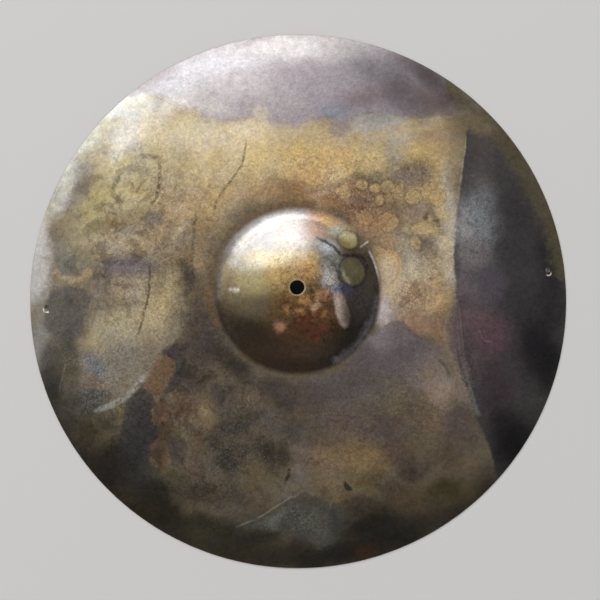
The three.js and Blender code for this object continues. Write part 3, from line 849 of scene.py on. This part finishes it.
def drift(x, y, seed):
    """A smooth wandering distance at places on the face, in mm."""
    random = np.random.default_rng(seed)
    moved = np.zeros_like(x)
    for wave in DRIFT_WAVES_MM:
        turn = random.uniform(0, math.tau)
        phase = random.uniform(0, math.tau)
        along = x * math.cos(turn) + y * math.sin(turn)
        across = y * math.cos(turn) - x * math.sin(turn)
        bend = np.sin(across * math.tau / (wave * 1.7) + phase) * 0.8
        moved += wave / LONGEST_DRIFT_WAVE_MM * np.sin(along * math.tau / wave + phase + bend)
    return moved * DRIFT_MM / DRIFT_SWELL


def lay_dabs(x, y, colour, dabs):
    """The colours at places once soft dabs lie over one colour, in their order."""
    laid = np.tile(srgb(colour), (len(x), 1))
    for dab in dabs:
        lean = math.radians(dab.turn)
        away_x, away_y = x - dab.x, y - dab.y
        along = (away_x * math.cos(lean) + away_y * math.sin(lean)) / dab.along
        across = (away_y * math.cos(lean) - away_x * math.sin(lean)) / dab.across
        cover = dab.cover * np.exp(-np.hypot(along, across) ** 3)
        laid += (srgb(dab.colour) - laid) * cover[:, None]
    return laid


def lay_spots(x, y, spots):
    """How strong a fine texture is at places."""
    strength = np.zeros_like(x)
    for spot in spots:
        away = np.hypot((x - spot.x) / spot.along, (y - spot.y) / spot.across)
        strength = np.maximum(strength, spot.amount * np.exp(-away ** 3))
    return strength


# Outlines and strokes are rounded in this many steps, and depths stop at this far outside.
SMOOTH_STEPS = 4
FAR_MM = 20.0


def smooth_line(points, closed=False):
    """Points of a curve that runs through the given ones."""
    knots = np.array(points, dtype=float)
    if closed:
        knots = np.vstack((knots[-1], knots, knots[:2]))
    else:
        knots = np.vstack((2 * knots[0] - knots[1], knots, 2 * knots[-1] - knots[-2]))
    curve = [] if closed else [knots[1]]
    for before, start, end, after in zip(knots, knots[1:], knots[2:], knots[3:]):
        for t in np.arange(1, SMOOTH_STEPS + 1) / SMOOTH_STEPS:
            bend = 2 * before - 5 * start + 4 * end - after
            twist = 3 * start - before - 3 * end + after
            curve.append(start + 0.5 * t * (end - before + t * (bend + t * twist)))
    return np.array(curve)


def depth_inside(x, y, outline):
    """How deep places lie inside a rounded outline, in mm, and below zero outside it."""
    corners = smooth_line(outline, closed=True)
    depth = np.full(x.shape, -FAR_MM)
    low, high = corners.min(axis=0) - FAR_MM, corners.max(axis=0) + FAR_MM
    near = (x > low[0]) & (x < high[0]) & (y > low[1]) & (y < high[1])
    x, y = x[near], y[near]
    nearest = np.full(x.shape, np.inf)
    inside = np.zeros(x.shape, dtype=bool)
    for (ax, ay), (bx, by) in zip(corners, np.roll(corners, -1, axis=0)):
        run, rise = bx - ax, by - ay
        share = np.clip(((x - ax) * run + (y - ay) * rise) / (run * run + rise * rise), 0, 1)
        nearest = np.minimum(nearest, np.hypot(x - ax - share * run, y - ay - share * rise))
        crosses = (ay > y) != (by > y)
        if rise:
            inside ^= crosses & (x < ax + (y - ay) / rise * run)
    depth[near] = np.where(inside, nearest, -np.minimum(nearest, FAR_MM))
    return depth


# How far to its sides a stroke is kept, over what distance it fades there, how far off its side
# is measured, what stands for having no stroke near, and how fast it thins at its two ends.
STROKE_REACH_MM = 6.5
STROKE_FADE_MM = 3.5
STROKE_SEARCH_MM = 12.0
NO_STROKE_MM = 99.0
STROKE_TAPER = 8


def lay_strokes(x, y, strokes):
    """For the stroke nearest each place: how far to its side, its width, colour and cover."""
    nearest = np.full(x.shape, np.inf)
    side = np.full(x.shape, NO_STROKE_MM)
    width = np.ones_like(x)
    tint = np.zeros((len(x), 3))
    cover = np.zeros_like(x)
    for stroke in strokes:
        curve = smooth_line(stroke.points)
        low, high = curve.min(axis=0) - STROKE_SEARCH_MM, curve.max(axis=0) + STROKE_SEARCH_MM
        near = np.flatnonzero((x > low[0]) & (x < high[0]) & (y > low[1]) & (y < high[1]))
        for i, ((ax, ay), (bx, by)) in enumerate(zip(curve, curve[1:])):
            length = math.hypot(bx - ax, by - ay)
            run, rise = (bx - ax) / length, (by - ay) / length
            along = (x[near] - ax) * run + (y[near] - ay) * rise
            across = (y[near] - ay) * run - (x[near] - ax) * rise
            past = along - np.clip(along, 0, length)
            away = np.hypot(across, past)
            taken = away < nearest[near]
            places = near[taken]
            share = (i + np.clip(along[taken] / length, 0, 1)) / (len(curve) - 1)
            taper = np.clip(np.minimum(share, 1 - share) * STROKE_TAPER, 0, 1) ** 0.5
            reach = np.clip((STROKE_REACH_MM - away[taken]) / STROKE_FADE_MM, 0, 1)
            nearest[places] = away[taken]
            side[places] = across[taken]
            width[places] = stroke.width
            tint[places] = srgb(stroke.colour)
            cover[places] = stroke.cover * taper * reach
    return side, width, tint, cover


def keep_numbers(mesh, name, numbers):
    """Keeps a number at each point of a mesh."""
    mesh.attributes.new(name, "FLOAT", "POINT").data.foreach_set("value", numbers)


def keep_colours(mesh, name, colours):
    """Keeps a colour at each point of a mesh, as a vector, so no model viewer tints the mesh by it."""
    mesh.attributes.new(name, "FLOAT_VECTOR", "POINT").data.foreach_set("vector", colours.ravel())


def paint_plan(mesh):
    """Paints the plan of the patina and of the painted light on the mesh's points."""
    places = np.empty(len(mesh.vertices) * 3)
    mesh.vertices.foreach_get("co", places)
    x, y = places.reshape(-1, 3)[:, :2].T / MM
    moved_x = x + drift(x, y, seed=3)
    moved_y = y + drift(x, y, seed=4)

    on_bell = np.clip((BELL_EDGE_MM - np.hypot(x, y)) / BELL_FADE_MM, 0, 1)
    bow = lay_dabs(moved_x, moved_y, BOW_COLOUR, BOW_DABS)
    bell = lay_dabs(x, y, BELL_COLOUR, BELL_DABS)
    keep_colours(mesh, "ground", bow + (bell - bow) * on_bell[:, None])
    keep_numbers(mesh, "on_bell", on_bell)
    for name, spots in TEXTURE_SPOTS.items():
        keep_numbers(mesh, name, lay_spots(moved_x, moved_y, spots))

    for stains, region in ((BOW_STAINS_AND_SHEEN, 1 - on_bell), (BELL_STAINS_AND_LIGHT, on_bell)):
        for stain in stains:
            depth = np.max([depth_inside(x, y, outline) for outline in stain.outlines], axis=0)
            cover = region * stain.cover
            if stain.cores:
                cover = cover * lay_spots(x, y, stain.cores)
            tint = lay_dabs(moved_x, moved_y, stain.colour, stain.dabs)
            keep_numbers(mesh, stain.name + "_depth", depth)
            keep_numbers(mesh, stain.name + "_cover", cover)
            keep_colours(mesh, stain.name + "_tint", tint)

    side, width, tint, cover = lay_strokes(x, y, STROKES)
    keep_numbers(mesh, "stroke_side", side)
    keep_numbers(mesh, "stroke_width", width)
    keep_numbers(mesh, "stroke_cover", cover)
    keep_colours(mesh, "stroke_tint", tint)


# ---------- the materials

class Finish:
    """A metal material and short calls for wiring up its nodes."""

    def __init__(self, name):
        self.material = bpy.data.materials.new(name)
        self.material.use_nodes = True
        self.tree = self.material.node_tree
        self.shader = self.tree.nodes["Principled BSDF"]
        self.place = self.scaled(self.node("ShaderNodeTexCoord", {}, "Object"), 1 / MM)

    def feed(self, node, inputs):
        """Links inputs to other nodes' outputs, or sets them to values."""
        for name, value in inputs.items():
            if isinstance(value, bpy.types.NodeSocket):
                self.tree.links.new(value, node.inputs[name])
            else:
                node.inputs[name].default_value = value

    def node(self, kind, inputs, output=0, **settings):
        """One output of a new node with some settings and inputs."""
        node = self.tree.nodes.new(kind)
        for name, setting in settings.items():
            setattr(node, name, setting)
        self.feed(node, inputs)
        return node.outputs[output]

    def vector(self, operation, first, second):
        return self.node("ShaderNodeVectorMath", {0: first, 1: second}, operation=operation)

    def scaled(self, vector, scale):
        return self.node("ShaderNodeVectorMath", {0: vector, "Scale": scale}, operation="SCALE")

    def maths(self, operation, *values):
        return self.node("ShaderNodeMath", dict(enumerate(values)), operation=operation)

    def times(self, first, *others):
        for other in others:
            first = self.maths("MULTIPLY", first, other)
        return first

    def step(self, value, low, high, to_low=0.0, to_high=1.0):
        """Runs smoothly from one value to another as the input goes from low to high."""
        values = dict(enumerate((value, low, high, to_low, to_high)))
        return self.node("ShaderNodeMapRange", values, interpolation_type="SMOOTHSTEP")

    def mix(self, share, first, second):
        return self.node("ShaderNodeMix", {0: share, 6: first, 7: second}, 2, data_type="RGBA")

    def tint(self, share, colour, factors):
        """Multiplies a share of a colour's red, green and blue by three factors."""
        return self.mix(share, colour, self.vector("MULTIPLY", colour, factors))

    def kept(self, name, output="Fac"):
        """A number or a colour that is kept on the mesh."""
        return self.node("ShaderNodeAttribute", {}, output, attribute_name=name)

    def marks(self, cloud, low, high, texture):
        """Where noise passes from low to high, as strong as the texture is there."""
        return self.times(self.step(cloud, low, high), self.kept(texture))

    def noise(self, size, detail=3.0, roughness=0.55, shift=(0, 0, 0), distortion=0.0, output=0):
        """Cloudy noise from 0 to 1, with clouds of about the size given in mm."""
        return self.node("ShaderNodeTexNoise", {
            "Vector": self.vector("ADD", self.place, shift),
            "Scale": 1 / size,
            "Detail": detail,
            "Roughness": roughness,
            "Distortion": distortion,
        }, output)

    def net(self, size):
        """Thin lines round cells of about the size given in mm, 1 on a line and 0 off it."""
        bend = self.noise(size, detail=4, roughness=0.5, output="Color")
        bent = self.vector("ADD", self.place, self.scaled(bend, size))
        cells = self.node("ShaderNodeTexVoronoi", {"Vector": bent, "Scale": 1 / size}, "Distance",
                          feature="DISTANCE_TO_EDGE")
        return self.step(cells, 0.02, 0.12, 1.0, 0.0)

    def mottle(self, colour, amounts):
        """Lightens and darkens a colour with noise of several sizes, given as size and amount."""
        total = 1.0
        for i, (size, amount) in enumerate(amounts):
            cloud = self.noise(size, detail=3, roughness=0.6, shift=(37 * i, 11, 5 * i))
            total = self.maths("MULTIPLY_ADD", self.maths("SUBTRACT", cloud, 0.5), amount * 2, total)
        return self.scaled(colour, total)

    def finish(self, colour, roughness, height, depth):
        bump = self.node("ShaderNodeBump", {"Distance": depth * MM, "Height": height})
        self.feed(self.shader, {
            "Metallic": 1.0, "Base Color": colour, "Roughness": roughness, "Normal": bump,
        })
        return self.material


def flat(code):
    """A node colour from a six-digit sRGB code."""
    return (*srgb(code), 1.0)


# What red, green and blue are multiplied by to make a colour cooler or warmer.
COOL = (0.97, 0.99, 1.05)
WARM = (1.03, 1.0, 0.93)


def lay_ground(metal):
    """The ground's colours with warm and cool clouds, patches, wisps and the net of brown lines."""
    ground = metal.kept("ground", "Color")
    cool, warm = (metal.vector("MULTIPLY", ground, factors) for factors in (COOL, WARM))
    colour = metal.mix(metal.step(metal.noise(22, detail=5, shift=(5, 9, 0)), 0.4, 0.6), cool, warm)
    cloud = metal.noise(19, detail=7, roughness=0.7, shift=(12, 84, 0), distortion=0.5)
    colour = metal.tint(metal.marks(cloud, 0.5, 0.57, "patches"), colour, (0.66, 0.64, 0.64))
    wisp = metal.noise(7, detail=7, roughness=0.7, shift=(90, 0, 0), distortion=1.2)
    blotch = metal.marks(wisp, 0.52, 0.58, "blotches")
    colour = metal.tint(blotch, colour, (0.66, 0.58, 0.52))
    colour = metal.tint(metal.marks(wisp, 0.46, 0.38, "blotches"), colour, (1.2, 1.17, 1.1))
    net = metal.maths("MAXIMUM", metal.net(7.0), metal.net(3.6))
    colour = metal.tint(metal.times(net, metal.kept("net"), 0.6), colour, (0.42, 0.36, 0.34))
    return colour, blotch


def lay_stain_or_light(metal, colour, stain, wander):
    """A patch of patina or painted light, and the line along its edge, over a colour."""
    cover = metal.kept(stain.name + "_cover")
    depth = metal.maths("MULTIPLY_ADD", wander, stain.ragged, metal.kept(stain.name + "_depth"))
    inside = metal.times(metal.step(depth, -stain.fade / 2, stain.fade / 2), cover)
    colour = metal.mix(inside, colour, metal.kept(stain.name + "_tint", "Color"))
    if stain.line:
        away = metal.maths("ABSOLUTE", metal.maths("SUBTRACT", depth, stain.line.offset))
        along = metal.times(metal.step(away, 0.0, stain.line.width, stain.line.cover, 0.0), cover)
        colour = metal.mix(along, colour, flat(stain.line.colour))
    return colour


def lay_lines(metal, colour, wander):
    """The strokes over a colour, broken up by noise."""
    away = metal.maths("ABSOLUTE", metal.maths("MULTIPLY_ADD", wander, 0.9, metal.kept("stroke_side")))
    away = metal.maths("DIVIDE", away, metal.kept("stroke_width"))
    broken = metal.step(metal.noise(4, detail=4, roughness=0.7, shift=(0, 70, 0)), 0.4, 0.52, 0.25, 1.0)
    on_stroke = metal.times(metal.step(away, 0.2, 0.75, 1.0, 0.0), metal.kept("stroke_cover"), broken)
    return metal.mix(on_stroke, colour, metal.kept("stroke_tint", "Color"))


def lay_grain(metal, colour):
    """Flecks, mottling, fine grain, pale dust and dark pits over a colour."""
    fleck = metal.noise(4.5, detail=6, roughness=0.75, shift=(0, 33, 44), distortion=0.8)
    colour = metal.tint(metal.marks(fleck, 0.47, 0.41, "flecks"), colour, (0.76, 0.71, 0.68))
    colour = metal.tint(metal.marks(fleck, 0.53, 0.59, "flecks"), colour, (1.2, 1.19, 1.17))
    mottled = metal.mottle(colour, ((20, 0.2), (5, 0.3), (2, 0.3)))
    grainy = metal.mottle(mottled, ((2.2, 0.6), (1.0, 0.6)))
    mottled = metal.mix(metal.kept("grain"), mottled, grainy)
    colour = metal.mix(metal.kept("smooth"), mottled, colour)
    speck = metal.noise(1.9, detail=3, roughness=0.7, shift=(0, 0, 60))
    drift_of_dust = metal.step(metal.noise(14, detail=5, roughness=0.7), 0.38, 0.58)
    dust = metal.times(metal.marks(speck, 0.46, 0.62, "dust"), drift_of_dust, 0.6)
    colour = metal.mix(dust, colour, flat("b9bbb6"))
    pit = metal.noise(2.6, detail=4, roughness=0.65, shift=(0, 50, 20), distortion=1.5)
    pits = metal.times(metal.marks(pit, 0.57, 0.62, "pits"), 0.65)
    return metal.mix(pits, colour, flat("54402c"))


# The upper face's patina, with the painted highlights, sheens and shade of the plan.
def make_upper_patina_and_light():
    metal = Finish("bronze_upper_patina_and_light")
    wander = metal.maths("MULTIPLY_ADD", metal.noise(7, detail=6, roughness=0.68), 4.0, -2.0)
    colour, blotch = lay_ground(metal)
    for stain in BOW_STAINS_AND_SHEEN + BELL_STAINS_AND_LIGHT:
        colour = lay_stain_or_light(metal, colour, stain, wander)
    colour = lay_grain(metal, lay_lines(metal, colour, wander))

    gloss = metal.step(metal.kept("on_bell"), 0.0, 1.0, 0.37, 0.38)
    cloud = metal.noise(12, detail=4, roughness=0.65, shift=(20, 20, 0))
    rough = metal.maths("MULTIPLY_ADD", cloud, 0.16, gloss)
    rough = metal.maths("MULTIPLY_ADD", blotch, 0.08, rough)
    return metal.finish(colour, rough, metal.noise(1.2, detail=2, roughness=0.6, shift=(8, 8, 8)), 0.025)


def make_lower_patina():
    metal = Finish("bronze_lower_patina")
    cloud = metal.noise(40, detail=5, roughness=0.62, distortion=0.4)
    colour = metal.mix(metal.step(cloud, 0.42, 0.6), flat("8c7a58"), flat("6b5d46"))
    stain = metal.noise(16, detail=6, roughness=0.66, shift=(60, 0, 0))
    colour = metal.mix(metal.step(stain, 0.52, 0.6, 0.0, 0.7), colour, flat("4c4438"))
    pale = metal.noise(30, detail=5, roughness=0.7, shift=(0, 60, 0))
    colour = metal.mix(metal.step(pale, 0.56, 0.68, 0.0, 0.6), colour, flat("9a8f80"))
    colour = metal.mottle(colour, ((20, 0.2), (5, 0.22), (1.3, 0.36)))
    rough = metal.maths("MULTIPLY_ADD", cloud, 0.2, 0.36)
    return metal.finish(colour, rough, metal.noise(1.2, detail=2, roughness=0.6), 0.03)


def make_worn_edge():
    metal = Finish("bronze_worn_edge")
    rub = metal.noise(7, detail=4, roughness=0.65)
    colour = metal.mix(metal.step(rub, 0.4, 0.62), flat("a58d62"), flat("6c5b41"))
    colour = metal.mottle(colour, ((2, 0.3),))
    rough = metal.maths("MULTIPLY_ADD", rub, 0.2, 0.25)
    return metal.finish(colour, rough, metal.noise(1.0, detail=2), 0.02)


# ---------- the picture

make_camera()
make_floor()
make_world()
make_softbox("key", azimuth=205, elevation=31, distance=6.0, width=7.5, height=3.75, power=196,
             colour=(1.0, 0.98, 0.95))
make_softbox("left", azimuth=265, elevation=45, distance=5.5, width=3.0, height=4.5, power=22,
             colour=(0.95, 0.97, 1.0))
bpy.context.scene.view_settings.view_transform = "Standard"

cymbal = make_cymbal()
paint_plan(cymbal.data)
for make_finish in (make_upper_patina_and_light, make_lower_patina, make_worn_edge):
    cymbal.data.materials.append(make_finish())
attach(cymbal, "root")
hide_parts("cymbal")
